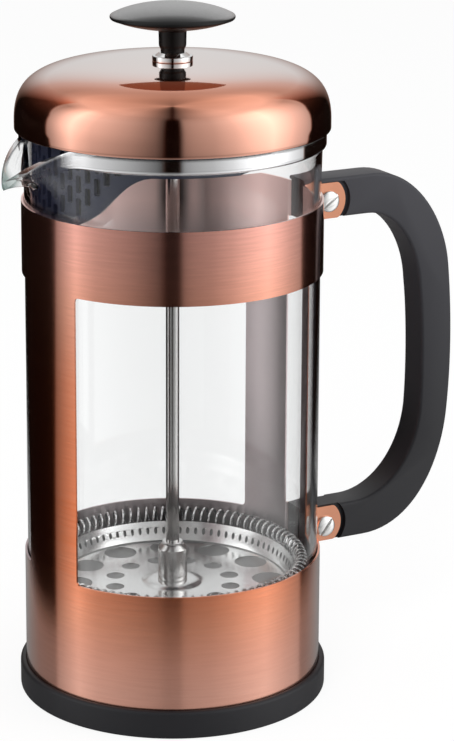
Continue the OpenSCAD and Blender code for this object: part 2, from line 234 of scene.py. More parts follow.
inside = {
    "bare": ((0.48, 0.39, 0.40, 1), (0.56, 0.45, 0.46, 1)),
    # Painted light: the paler, half matt inner band above the windows and its glowing streaks. Painted
    # shade: the narrow dark band listed as seam, which is not a joint. Both run by degrees round from the
    # viewer's side.
    "upper": (0.93, 0.66, 0.60, 1), "upperFrom": (0.142, 0.158),
    "glow": (1.0, 0.64, 0.60, 1), "dark": (0.12, 0.07, 0.065, 1), "heading": 27,
    "streaks": [
        (-180, 0.05), (-90, 0.1), (-60, 0.3), (-45, 0.36), (-31, 0.32), (-20, 0.2), (-8, 0.12), (-4.5, 0.0),
        (5, 0.0), (8, 0.12), (14, 0.05), (20, 0.12), (26, 0.2), (32, 0.3), (38, 0.4), (46, 0.3), (60, 0.2),
        (90, 0.1), (180, 0.05)],
    "seam": [
        (-180, 0.0), (-6.5, 0.0), (-3.5, 1.0), (4, 1.0), (7.5, 0.1), (10, 0.0), (13, 0.35), (17, 0.0),
        (180, 0.0)],
}


def makeSheetInside():
    # The bare back of the coppered sheet.
    material, paint = newPaint("sheetInside")
    lines = paint.noise(1.0, (9, 9, 2200), 2.0)
    # Painted light: the inner wall above the windows is paler and half matt.
    upper = paint.ramp(paint.split()["Z"], *inside["upperFrom"])
    tone = paint.blend(lines, *inside["bare"])
    tone = paint.blend(upper, tone, inside["upper"])
    # Painted light caught between the two walls glows in soft upright streaks, and a narrow band of painted
    # shade lies across it.
    spot = paint.stretched((1, 1, 1), (0, 0, math.radians(inside["heading"])))
    side = paint.node("SeparateXYZ", None, {0: spot})
    around = paint.maths("ARCTAN2", side["X"], side["Y"]) / turn + 0.5
    streaks, seam = (
        paint.curve([(a / 360 + 0.5, level) for a, level in inside[name]], around)
        for name in ("streaks", "seam"))
    shader = paint.node("BsdfPrincipled", None, {
        "Base Color": paint.blend(seam * upper, tone, inside["dark"]),
        "Metallic": 1 - 0.5 * upper,
        "Emission Color": paint.blend(upper * streaks, grey(0.0), inside["glow"]),
        "Emission Strength": 1.0,
        "Roughness": 0.3 + 0.1 * lines,
        "Anisotropic": 0.6,
        "Anisotropic Rotation": 0.25,
        "Normal": paint.bump(lines, 0.1, 0.00003),
    })
    paint.surface(shader)
    return material


metal = {"grainScale": (700, 700, 90), "cloudScale": 45.0, "darker": 0.9, "uneven": 0.08}


def makeMetal(name, base, roughness):
    material, paint = newPaint(name)
    grain = paint.noise(1.0, metal["grainScale"], 3.0)
    cloud = paint.noise(metal["cloudScale"], detail=2.0)
    darker = tuple(c * metal["darker"] for c in base[:3]) + (1,)
    shader = paint.node("BsdfPrincipled", None, {
        "Base Color": paint.blend(cloud, darker, base),
        "Metallic": 1.0,
        "Roughness": roughness + metal["uneven"] * grain,
        "Normal": paint.bump(grain, 0.05, 0.00002),
    })
    paint.surface(shader)
    return material


plastic = {
    "black": (0.010, 0.010, 0.0125, 1),
    "worn": (0.014, 0.014, 0.017, 1),
    "lit": (0.05, 0.05, 0.059, 1),
    "grainScale": 2600,
    "sheen": [
        (0.44, 0.0), (0.5, 0.045), (0.54, 0.11), (0.58, 0.235), (0.62, 0.29), (0.68, 0.345),
        (0.77, 0.41), (0.9, 0.42)],
    # Painted reflection: the glow that the lid's mirror shows for the knob's disc and stem.
    "glimpse": (0.31, 0.13, 0.08, 1), "stemGlimpse": (0.16, 0.06, 0.037, 1),
    "discFrom": 0.006, "stemHalf": 0.0044, "stemRadius": 0.0063, "discLow": 0.2268,
}


def makePlastic(name, roughness, tint=None, grainStrength=0.12, ior=1.42, topLightFades=None, knobby=False):
    material, paint = newPaint(name)
    grain = paint.noise(plastic["grainScale"], detail=2.0)
    cloud = paint.noise(28.0, detail=3.0)
    low, high = tint or (plastic["black"], plastic["worn"])
    tone = paint.blend(cloud, low, high)
    if topLightFades:  # painted light: a shade paler towards the top
        tone = paint.blend(paint.ramp(paint.split()["Z"], *topLightFades), tone, plastic["lit"])
    if knobby:  # painted sheen: paler on what faces up and is seen at a low angle
        up = paint.node("SeparateXYZ", None, {0: paint.node("NewGeometry")["Normal"]})["Z"]
        sheen = paint.curve(plastic["sheen"], paint.facing()) * paint.ramp(up, 0.3, 0.9)
        tone = paint.blend(sheen * (0.6 + 0.8 * grain), tone, grey(1.0))
    shader = paint.node("BsdfPrincipled", None, {
        "Base Color": tone,
        "Roughness": roughness + 0.08 * cloud + 0.05 * grain,
        "IOR": ior,
        "Normal": paint.bump(grain, grainStrength, 0.00004),
    })
    paint.surface(mirrorOnlyFront(paint, shader) if knobby else shader)
    return material


def mirrorOnlyFront(paint, shader):
    # In the lid's mirror the knob shows as a glow of painted reflection: its stem and the front of its disc
    # are seen, and not the disc's back.
    flat = paint.vector("MULTIPLY", paint.place(), (1, 1, 0))
    forward = paint.vector("DOT_PRODUCT", flat, forwards)["Value"]
    across = paint.maths("ABSOLUTE", paint.vector("DOT_PRODUCT", flat, sideways)["Value"])
    front = paint.maths("GREATER_THAN", forward, plastic["discFrom"])
    stem = paint.maths("LESS_THAN", across, plastic["stemHalf"])
    stem = stem * paint.maths("GREATER_THAN", forward, -plastic["discFrom"])
    disc = paint.maths("GREATER_THAN", paint.vector("LENGTH", flat)["Value"], plastic["stemRadius"])
    disc = disc + paint.maths("GREATER_THAN", paint.split()["Z"], plastic["discLow"])
    mirrored = paint.node("LightPath")["Is Glossy Ray"] * paint.maths("MINIMUM", disc, 1.0)
    discGlow, stemGlow = (
        paint.node("Emission", None, {"Color": plastic[name], "Strength": 1.0})
        for name in ("glimpse", "stemGlimpse"))
    shader = paint.mixed(0.9 * mirrored * front, shader, paint.mixed(stem, discGlow, stemGlow))
    hidden = mirrored * (1 - paint.maths("MAXIMUM", front, 0.85 * stem))
    return paint.mixed(hidden, shader, paint.node("BsdfTransparent"))


glass = {
    "ior": 1.474, "tint": (0.985, 0.99, 0.99, 1), "edge": (0.30, 0.31, 0.32, 1),
    "edges": [(0.0, 0.0), (0.72, 0.0), (0.95, 1.0)], "edgeFades": (0.178, 0.17, 0.15),
    "bead": (0.1874, 0.1877, 0.1918, 0.1928), "beadTone": (0.99, 0.99, 1.0, 1),
    "lipIor": 1.03, "lipEdge": (0.12, 0.135, 0.13, 1), "tip": (0.22, 0.29, 0.27, 1),
    "lipEdges": [(0.0, 0.0), (0.76, 0.03), (0.9, 0.35), (0.98, 1.0)],
    "lipEdgeFades": (0.62, 0.5, 1.0, 0.12), "tipFrom": (-0.0558, -0.0585), "lipFrom": (0.1695, 0.1715),
    "crest": (0.93, 0.99), "spoutGap": (0.29, 0.52), "clearGap": (0.72, 0.58),
}


def makeGlass():
    material, paint = newPaint("glass")
    facing, spot = paint.facing(), paint.split()
    # Painted shade: the glass is tinted grey where it is seen at a low angle, much less so near the rim.
    edge = paint.curve(glass["edges"], facing) * paint.ramp(spot["Z"], *glass["edgeFades"])
    wall = paint.node("BsdfPrincipled", None, {
        "Base Color": paint.blend(edge, glass["tint"], glass["edge"]),
        "Roughness": 0.0,
        "IOR": glass["ior"],
        "Transmission Weight": 1.0,
        "Normal": paint.bump(paint.noise(26.0, detail=1.0), 0.04, 0.0002),
    })
    # The spout: the angle is counted both ways from its tip.
    turned = paint.maths("ABSOLUTE", paint.maths("ARCTAN2", spot["Y"], -1 * spot["X"]))
    # Painted shade: the lip is outlined darker where it is seen at a low angle, faintly at the spout.
    outline = paint.curve(glass["lipEdges"], facing) * paint.ramp(turned, *glass["lipEdgeFades"])
    tip = paint.ramp(spot["X"], *glass["tipFrom"])
    spout = paint.node("BsdfPrincipled", None, {
        "Base Color": paint.blend(outline, paint.blend(tip, glass["tint"], glass["tip"]), glass["lipEdge"]),
        "Roughness": 0.0,
        "IOR": glass["lipIor"],
        "Transmission Weight": 1.0,
        "Coat Weight": 0.8,
        "Coat IOR": 1.5,
    })
    # The rim's thick bead sends the light straight back, all but at the spout.
    bead = paint.node("BsdfPrincipled", None, {
        "Base Color": glass["beadTone"],
        "Metallic": 1.0,
        "Roughness": 0.06,
    })
    low, full, fade, top = glass["bead"]
    band = paint.ramp(spot["Z"], low, full) * paint.ramp(spot["Z"], top, fade)
    band = band * paint.ramp(turned, *glass["spoutGap"])
    pouring = paint.ramp(spot["Z"], *glass["lipFrom"]) * paint.ramp(turned, *glass["clearGap"])
    crest = paint.ramp(paint.node("Attribute", {"attribute_name": "crest"})["Fac"], *glass["crest"])
    spout = paint.mixed(crest * 0.8 * (1 - 0.85 * tip), spout, bead)
    shader = paint.mixed(pouring, wall, spout)
    shader = paint.mixed(band * 0.97, shader, bead)
    shadow = paint.node("LightPath")["Is Shadow Ray"]
    paint.surface(paint.mixed(shadow, shader, paint.node("BsdfTransparent", None, {"Color": grey(0.97)})))
    return material


woven = {"scale": 900.0, "gaps": (0.30, 0.30, 0.30, 1), "wires": (0.62, 0.62, 0.61, 1), "roughness": 0.36}


def makeMesh():
    # Fine woven wire seen through the plate's holes.
    material, paint = newPaint("mesh")
    across, along = (
        paint.node("TexWave", {"bands_direction": way}, {"Vector": paint.place(), "Scale": woven["scale"]})
        for way in ("X", "Y"))
    weave = across * along
    shader = paint.node("BsdfPrincipled", None, {
        "Base Color": paint.blend(weave, woven["gaps"], woven["wires"]),
        "Metallic": 0.8,
        "Roughness": woven["roughness"],
        "Normal": paint.bump(weave, 0.3, 0.0001),
    })
    paint.surface(shader)
    return material


springTone = {
    "out": (0.0441, 0.0042), "high": (0.0438, 0.008), "roughness": 0.24,
    "shade": grey(0.16), "lit": grey(0.97),
}


def makeSpringWire():
    # The outer lower side of each turn sits in its own shade.
    material, paint = newPaint("springWire")
    out = paint.vector("LENGTH", paint.vector("MULTIPLY", paint.place(), (1, 1, 0)))["Value"]
    (radius, wide), (height, tall) = springTone["out"], springTone["high"]
    lit = (radius - out) / wide + (paint.split()["Z"] - height) / tall + 0.5
    lit = paint.maths("MULTIPLY", lit, 1.0, clamp=True)
    shader = paint.node("BsdfPrincipled", None, {
        "Base Color": paint.blend(lit, springTone["shade"], springTone["lit"]),
        "Metallic": 1.0,
        "Roughness": springTone["roughness"] + 0.06 * paint.noise(900.0, detail=2.0),
    })
    paint.surface(shader)
    return material


copperBrushed = makeCopperBrushed()
copperPolished = makeCopperPolished()
sheetInside = makeSheetInside()
rodSteel = makeMetal("rodSteel", (0.68, 0.67, 0.66, 1), 0.13)
hubSteel = makeMetal("hubSteel", (0.80, 0.79, 0.78, 1), 0.2)
chrome = makeMetal("chrome", (0.86, 0.855, 0.85, 1), 0.05)
steelPlate = makeMetal("steelPlate", (0.93, 0.93, 0.925, 1), 0.17)
springWire = makeSpringWire()
screwSteel = makeMetal("screwSteel", (0.84, 0.84, 0.83, 1), 0.16)
brass = makeMetal("brass", (0.72, 0.52, 0.25, 1), 0.25)
footPlastic = makePlastic("footPlastic", 0.42)
handlePlastic = makePlastic("handlePlastic", 0.4, topLightFades=(0.075, 0.175))
knobPlastic = makePlastic("knobPlastic", 0.3, (grey(0.004), grey(0.006)), 0.12, 1.3, knobby=True)
strainerTint = (0.024, 0.028, 0.055, 1), (0.034, 0.039, 0.07, 1)
strainerPlastic = makePlastic("strainerPlastic", 0.22, strainerTint, 0.03)
strainerShade = makePlastic("strainerShade", 0.5, (grey(0.003), grey(0.005)), 0.03, 1.1)
clearGlass = makeGlass()
wireMesh = makeMesh()


# Shaping
def newObject(name, data):
    made = bpy.data.objects.new(name, data)
    bpy.context.scene.collection.objects.link(made)
    return made


def smooth(mesh, sharp=34):
    mesh.shade_smooth()
    mesh.set_sharp_from_angle(angle=math.radians(sharp))


def newPiece(name, bm, finishes, body, stands=(), merge=0.001):
    bmesh.ops.remove_doubles(bm, verts=bm.verts, dist=merge)
    bmesh.ops.recalc_face_normals(bm, faces=bm.faces)
    bmesh.ops.scale(bm, vec=(mm, mm, mm), verts=bm.verts)
    mesh = bpy.data.meshes.new(name)
    bm.to_mesh(mesh)
    bm.free()
    smooth(mesh)
    piece = newObject(name, mesh)
    for finish in finishes:
        mesh.materials.append(finish)
    if body:
        claim(piece, body, stands)
    return piece


def claim(piece, body, stands):
    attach(piece, body)
    if stands:
        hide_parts(*stands)


def finalMesh(piece):
    graph = bpy.context.evaluated_depsgraph_get()
    return bpy.data.meshes.new_from_object(piece.evaluated_get(graph))


def applyModifiers(piece, sharp=34):
    made = finalMesh(piece)
    piece.modifiers.clear()
    old, piece.data = piece.data, made
    made.name = old.name
    bpy.data.meshes.remove(old)
    smooth(made, sharp)


def modifier(piece, kind, **settings):
    made = piece.modifiers.new(kind.lower(), kind)
    for name, value in settings.items():
        setattr(made, name, value)


def bevelCorners(piece, width, segments=2, angle=50):
    modifier(piece, "BEVEL", width=width * mm, segments=segments, limit_method="ANGLE",
             angle_limit=math.radians(angle))


def cutWith(piece, bm, cutters):
    cutter = newPiece(f"cutter{len(cutters)}", bm, [], None)
    modifier(piece, "BOOLEAN", object=cutter, operation="DIFFERENCE", solver="MANIFOLD")
    cutters.append(cutter)


def finishCuts(piece, cutters):
    applyModifiers(piece, 30)
    for cutter in cutters:
        bpy.data.objects.remove(cutter)


def shift(bm, vec):
    bmesh.ops.translate(bm, vec=vec, verts=bm.verts)


def tilt(bm, degrees, axis):
    turned = Matrix.Rotation(math.radians(degrees), 3, axis)
    bmesh.ops.rotate(bm, verts=bm.verts, cent=(0, 0, 0), matrix=turned)


def thicken(bm, faces, vec):
    # Pulls a copy of flat faces away from them, with walls between.
    grown = bmesh.ops.extrude_face_region(bm, geom=faces)
    moved = [g for g in grown["geom"] if isinstance(g, bmesh.types.BMVert)]
    bmesh.ops.translate(bm, vec=vec, verts=moved)


def ring(bm, radius, segments, place=(0, 0, 0)):
    bmesh.ops.create_circle(bm, cap_ends=False, radius=radius, segments=segments,
                            matrix=Matrix.Translation(place))


def ringOfHoles(bm, count, pitch, radius, first, height, segments):
    for k in range(count):
        a = math.radians(first + 360 * k / count)
        ring(bm, radius, segments, (pitch * math.cos(a), pitch * math.sin(a), height))


def fillFlat(bm, normal=(0, 0, 1)):
    # Fills between the outermost line and the lines of the holes.
    bmesh.ops.triangle_fill(bm, edges=bm.edges[:], use_beauty=True, use_dissolve=False, normal=normal)


def bezier(a, b, c, d, count=14):
    return [tuple(p) for p in interpolate_bezier(Vector(a), Vector(b), Vector(c), Vector(d), count)]


def drawLine(bm, points, closed=True, segments=4):
    # Points lie in the XZ plane; a third number rounds that corner.
    verts = [bm.verts.new((p[0], 0, p[1])) for p in points]
    ends = verts[1:] + verts[:1] if closed else verts[1:]
    for pair in zip(verts, ends):
        bm.edges.new(pair)
    for size in sorted({p[2] for p in points if len(p) > 2}):
        corners = [v for v, p in zip(verts, points) if len(p) > 2 and p[2] == size]
        bmesh.ops.bevel(bm, geom=corners, offset=size, affect="VERTICES",
                        segments=segments, profile=0.5, material=-1)


def lathe(points, closed=True, steps=160, segments=4):
    bm = bmesh.new()
    drawLine(bm, points, closed, segments)
    bmesh.ops.spin(bm, geom=bm.verts[:] + bm.edges[:], axis=(0, 0, 1), cent=(0, 0, 0),
                   angle=turn, steps=steps, use_merge=True)
    bmesh.ops.remove_doubles(bm, verts=bm.verts, dist=0.001)
    return bm


def addTo(bm, other):
    made = bpy.data.meshes.new("part")
    other.to_mesh(made)
    other.free()
    bm.from_mesh(made)
    bpy.data.meshes.remove(made)
    return bm


def flatSheet(loops, cuts, segments=4):
    # A sheet cut flat in the XZ plane: its outline, its holes, and lines where it will bend.
    bm = bmesh.new()
    for loop in loops:
        drawLine(bm, loop, segments=segments)
    fillFlat(bm, (0, -1, 0))
    for cut in cuts:
        everything = bm.verts[:] + bm.edges[:] + bm.faces[:]
        bmesh.ops.bisect_plane(bm, geom=everything, dist=0.001, plane_co=(cut, 0, 0), plane_no=(1, 0, 0))
    return bm


def arcLine(cx, cz, r, start, stop, count=10):
    angles = [math.radians(start + (stop - start) * i / count) for i in range(count + 1)]
    return [(cx + r * math.cos(a), cz + r * math.sin(a)) for a in angles]


# Foot
foot = {
    "radius": 52, "height": 9.3, "floor": 7, "round": 1.2, "lip": 50.05, "wall": 49.2, "ledge": 4,
    "groove": (40, 46.3, 1.6, 0.8),
}


def buildFoot():
    r, height, lip, wall, ledge = (foot[name] for name in ("radius", "height", "lip", "wall", "ledge"))
    start, stop, deep, slope = foot["groove"]
    bm = lathe([
        (0, 0), (start, 0), (start + slope, deep), (stop - slope, deep), (stop, 0), (r, 0, 0.9),
        (r, height, foot["round"]), (lip, height, 0.3), (lip, ledge), (wall, ledge), (wall, foot["floor"]),
        (0, foot["floor"]),
    ], closed=False, steps=192, segments=5)
    newPiece("footMoulding", bm, [footPlastic], "frame", ["base"])


# Sleeve
sleeve = {
    "radius": 49.65, "sheet": 0.7, "bottom": 4.2, "slot": 7,
    "sill": 48.2, "head": 145.4, "corner": 1.5,
    "windows": ((30.6, 172.0), (204.2, 344.5)),
    "bend": 1.6, "tabTip": 63.2, "tabArc": 8.3, "tabRound": 0.6, "tabHeight": 12.4, "tabs": (42.1, 157.1),
    "holes": ((56.8, 47.4), (56.8, 163.1)), "hole": 2.15, "step": 2.0,
}


def sleeveRun():
    # How far each half of the flat sheet runs round the press, and then round the bend.
    slot = math.radians(sleeve["slot"])
    return sleeve["radius"] * (math.pi - slot), sleeve["bend"] * (turn / 4 - slot)


def flatPlace(x):
    # Where on the flat sheet a place along the handle lies.
    reach, arc = sleeveRun()
    return reach + arc + x - (sleeve["radius"] + sleeve["bend"]) * math.cos(math.radians(sleeve["slot"]))


def rollSleeve(co):
    # Plan view of the sheet: round the press, out through the bend and along the handle.
    radius, bend = sleeve["radius"], sleeve["bend"]
    slot = math.radians(sleeve["slot"])
    reach, arc = sleeveRun()
    side, along = math.copysign(1, co.x), abs(co.x)
    if along <= reach:
        a = math.pi - along / radius
        x, y = radius * math.cos(a), radius * math.sin(a)
    else:
        cx, cy = (radius + bend) * math.cos(slot), (radius + bend) * math.sin(slot)
        if along <= reach + arc:
            a = math.pi + slot + (along - reach) / bend
            x, y = cx + bend * math.cos(a), cy + bend * math.sin(a)
        else:
            x, y = cx + along - reach - arc, cy - bend
    co.x, co.y = x, -side * y


def buildSleeve():
    radius = sleeve["radius"]
    reach, arc = sleeveRun()
    half = sleeve["tabHeight"] / 2
    swing = math.degrees(math.asin(half / sleeve["tabArc"]))
    right = [(reach, sleeve["bottom"])]
    for low in sleeve["tabs"]:
        end = arcLine(flatPlace(sleeve["tabTip"]) - sleeve["tabArc"], low + half, sleeve["tabArc"],
                      -swing, swing, 14)
        end[0], end[-1] = (*end[0], sleeve["tabRound"]), (*end[-1], sleeve["tabRound"])
        right += [(reach, low), *end, (reach, low + 2 * half)]
    right.pop()  # the upper tab's top runs straight into the sleeve's
    left = [(-p[0], *p[1:]) for p in reversed(right)]
    loops = [right + left]
    for start, stop in sleeve["windows"]:
        a, b = (math.radians(v - 180) * radius for v in (start, stop))
        corner = sleeve["corner"]
        loops.append([(a, sleeve["sill"], corner), (b, sleeve["sill"], corner),
                      (b, sleeve["head"], corner), (a, sleeve["head"], corner)])
    for x, z in sleeve["holes"]:
        hole = arcLine(0, z, sleeve["hole"], 0, 345, 23)
        loops += [[(side * (flatPlace(x) + p[0]), p[1]) for p in hole] for side in (1, -1)]
    turns = int(math.degrees(reach / radius) / sleeve["step"])
    cuts = [k * math.radians(sleeve["step"]) * radius for k in range(-turns, turns + 1)]
    cuts += [side * (reach + arc * k / 7) for side in (1, -1) for k in range(8)]
    bm = flatSheet(loops, cuts)
    for v in bm.verts:
        rollSleeve(v.co)
    piece = newPiece("sleeveSheet", bm, [copperBrushed, sheetInside], None)
    modifier(piece, "SOLIDIFY", thickness=sleeve["sheet"] * mm, offset=0, use_even_offset=True)
    bevelCorners(piece, 0.1)
    applyModifiers(piece, 12)
    for polygon in piece.data.polygons:
        n, c = polygon.normal, polygon.center
        # The far window's cut edges count as inside too.
        limit = 0.5 if c.y > 0 and c.z > sleeve["sill"] * mm - 0.001 else -0.5
        inward = n.x * c.x + n.y * c.y < limit * c.xy.length
        polygon.material_index = 1 if inward and c.xy.length < (radius + 0.34) * mm else 0
    claim(piece, "frame", ["sleeve"])


# Handle
handle = {
    "thickness": 11.8, "edge": 1.1, "root": 49.6, "rootHalf": 4.246, "gap": 1.4,
    "top": 171.2, "upperLow": 157.4, "lowerTop": 54.9, "bottom": 42.1,
    "pockets": ((41.7, 55.3), (157.0, 169.9)),
}


def buildHandle():
    top, low = handle["top"], handle["bottom"]
    upperLow, lowerTop, root = handle["upperLow"], handle["lowerTop"], handle["root"]
    outer = [(root, top)]
    outer += bezier((74, top), (91, top), (103.2, 153), (105, 136), 24)[:-1]
    outer += bezier((105, 136), (106.8, 119), (107.2, 101), (105.6, 84), 14)[:-1]
    outer += bezier((105.6, 84), (104, 64), (93, low), (72, low), 24)
    inner = [(root, low), (root, lowerTop)]
    inner += bezier((68, lowerTop), (80, lowerTop), (92, 66), (94, 84), 20)[:-1]
    inner += bezier((94, 84), (95, 98), (94.6, 118), (93, 130), 12)[:-1]
    inner += bezier((93, 130), (92.2, 143.5), (84, upperLow), (72, upperLow), 20)
    inner += [(root, upperLow)]
    bm = bmesh.new()
    verts = [bm.verts.new((x, -handle["thickness"] / 2, z)) for x, z in outer + inner]
    thicken(bm, [bm.faces.new(verts)], (0, handle["thickness"], 0))
    rims = [e for e in bm.edges if abs(e.verts[0].co.y - e.verts[1].co.y) < 0.01
            and min(v.co.x for v in e.verts) > root - 1 and not all(v.co.x < root + 0.1 for v in e.verts)]
    bmesh.ops.bevel(bm, geom=rims, offset=handle["edge"], affect="EDGES", segments=4, profile=0.5,
                    material=-1, clamp_overlap=True)
    piece = newPiece("handleGrip", bm, [handlePlastic], None)
    cutters = []
    for z0, z1 in handle["pockets"]:
        half = (z1 - z0) / 2
        r = sleeve["tabArc"] + handle["gap"]
        swing = math.degrees(math.asin(half / r))
        arc = arcLine(sleeve["tabTip"] - sleeve["tabArc"], (z0 + z1) / 2, r, -swing, swing, 24)
        for side in (1, -1):
            cut = bmesh.new()
            y = side * handle["rootHalf"]
            verts = [cut.verts.new((x, y, z)) for x, z in [(46, z1), (46, z0), *arc]]
            thicken(cut, [cut.faces.new(verts)], (0, side * 4, 0))
            cutWith(piece, cut, cutters)
    finishCuts(piece, cutters)
    claim(piece, "frame", ["handle"])


# Handle screws and nuts
screw = {
    "x": 56.8, "seat": 4.996, "head": 3.7, "headHeight": 1.5, "shank": 2.0, "end": 8.4,
    "slot": 1.0, "depth": 0.9, "places": ((163.1, 35), (47.4, 52)), "nut": 3.8, "nutHeight": 3.0,
}


def buildScrews():
    whole = bmesh.new()
    low, head, shank, end = -screw["seat"], screw["head"], screw["shank"], screw["end"]
    face = low - screw["headHeight"]
    for z, _ in screw["places"]:
        bm = lathe([
            (0, face), (2.4, face), (head - 0.35, face + 0.45, 0.3), (head, low - 0.6, 0.3), (head, low),
            (shank, low), (shank, end - 0.4), (shank - 0.4, end), (0, end),
        ], closed=False, steps=64)
        tilt(bm, -90, "X")
        shift(bm, (screw["x"], 0, z))
        addTo(whole, bm)
    piece = newPiece("handleScrews", whole, [screwSteel], None)
    cutters = []
    for z, lean in screw["places"]:
        cut = bmesh.new()
        bmesh.ops.create_cube(cut, size=1)
        bmesh.ops.scale(cut, vec=(14, 2, screw["slot"]), verts=cut.verts)
        tilt(cut, -lean, "Y")
        shift(cut, (screw["x"], face + screw["depth"] - 1, z))
        cutWith(piece, cut, cutters)
    bevelCorners(piece, 0.08)
    finishCuts(piece, cutters)
    claim(piece, "frame", ["handle_screws"])


def hexNut(across, height, low, bore):
    # A nut round Z whose corners are turned off at both ends.
    bm = bmesh.new()
    ring(bm, across, 6)
    ring(bm, bore, 24)
    fillFlat(bm)
    thicken(bm, bm.faces[:], (0, 0, height))
    rims = [e for e in bm.edges if all(v.co.xy.length > bore + 0.5 for v in e.verts)
            and abs(e.verts[0].co.z - e.verts[1].co.z) < 0.1]
    bmesh.ops.bevel(bm, geom=rims, offset=0.35, affect="EDGES", segments=2, profile=0.5, material=-1)
    shift(bm, (0, 0, low))
    return bm


def buildHandleNuts():
    whole = bmesh.new()
    for z, _ in screw["places"]:
        bm = hexNut(screw["nut"], screw["nutHeight"], screw["seat"], screw["shank"] + 0.05)
        tilt(bm, -90, "X")
        shift(bm, (screw["x"], 0, z))
        addTo(whole, bm)
    newPiece("handleNuts", whole, [screwSteel], "frame", ["handle_nuts"])


# Beaker
beaker = {
    "radius": 49, "wall": 2.0, "bottom": 7.05, "steps": 256,
    "neck": 187.4, "rim": 194, "bead": 3.3, "beadRadius": 50.6,
    "spoutStart": 174, "spoutReach": (10.4, 18.5, 1.4), "spoutDrop": (16.6, 32, 2.1),
    "tipRound": 1.6, "lipDrop": 1.3,
}


def buildBeaker():
    r, rim, start = beaker["radius"], beaker["rim"], beaker["spoutStart"]
    neck, wide = beaker["neck"], beaker["beadRadius"]
    shoulder = bezier((r + 0.3, neck), (r + 0.3, neck + 0.5), (wide, neck + 0.3), (wide, neck + 1.0), 7)
    bead = [(wide, neck + 1 + (rim - neck - 1) * k / 9) for k in range(1, 10)]
    wall = [(r + 0.3 * k / 18, start + (neck - start) * k / 18) for k in range(18)]
    low = arcLine(r - 9, beaker["bottom"] + 9, 9, -90, 0, 12)
    line = [(0, beaker["bottom"]), *low, (r, 150), *wall, *shoulder, *bead]
    bm = lathe(line, closed=False, steps=beaker["steps"])
    layer = bm.verts.layers.deform.verify()
    crest = bm.verts.layers.float.new("crest")
    thin = beaker["wall"] / beaker["bead"]
    reach, reachSpread, reachPower = beaker["spoutReach"]
    drop, dropSpread, dropPower = beaker["spoutDrop"]
    for v in bm.verts:
        # Each point's angle from the spout's tip, the wall's share there, and the pull out and down.
        up = min(1, max(0, v.co.z - neck))
        a = math.hypot(math.degrees(math.atan2(v.co.y, -v.co.x)), beaker["tipRound"])
        beside = min(1, max(0, (a - 17) / 8))
        v[layer][0] = thin + (1 - thin) * up * up * (3 - 2 * up) * beside + 0.2 * up * max(0, 1 - a / 6)
        v[crest] = (v.co.z - start) / (rim - start)
        if v.co.z > start and a < dropSpread:
            share = (v.co.z - start) / (rim - start)
            pull = max(0, 1 - (a / reachSpread) ** reachPower)
            out = reach * pull * share ** 1.6
            grow = 1 + out / v.co.xy.length
            v.co.x, v.co.y = v.co.x * grow, v.co.y * grow
            down = drop * (1 - a / dropSpread) ** dropPower + beaker["lipDrop"] * pull
            v.co.z -= down * share ** (1.2 + 0.3 * pull)
    piece = newPiece("glassBeaker", bm, [clearGlass], None)
    piece.vertex_groups.new(name="wall")
    modifier(piece, "SOLIDIFY", thickness=beaker["bead"] * mm, offset=-1, use_even_offset=True,
             vertex_group="wall")
    bevelCorners(piece, 1.1, 4, 55)
    applyModifiers(piece, 50)
    claim(piece, "beaker", ["beaker"])


# Lid
lid = {"radius": 52, "edge": 193.1, "side": 196.2, "top": 215.2, "sheet": 0.6, "hole": 4.85}


def domeLine(inset):
    r, side, top = lid["radius"] - inset, lid["side"], lid["top"] - inset
    line = bezier((r, side), (r, side + 17.6), (39.5, top), (0, top), 44)
    return [p for p in line if p[0] > lid["hole"] + 0.5]


def buildLid():
    r, edge, sheet = lid["radius"], lid["edge"], lid["sheet"]
    hole, top = lid["hole"], lid["top"]
    bm = lathe([
        (r - sheet, edge + 0.6), (r - 0.45, edge, 0.2), (r, edge + 0.35, 0.2), (r, edge + 1.2),
        *domeLine(0), (hole, top), (hole, top - sheet), *reversed(domeLine(sheet)),
    ], steps=224)
    newPiece("lidDome", bm, [copperPolished], "lid", ["lid_dome"])


strainer = {
    "radius": 45.4, "wall": 1.8, "low": 186, "top": 194, "tongue": 165.5, "shadeSheet": (44.7, 0.3),
    "pitch": 4.6, "slot": 2.2, "slotHeight": 5.6, "row": 7.3, "roof": 196, "tower": 8,
}


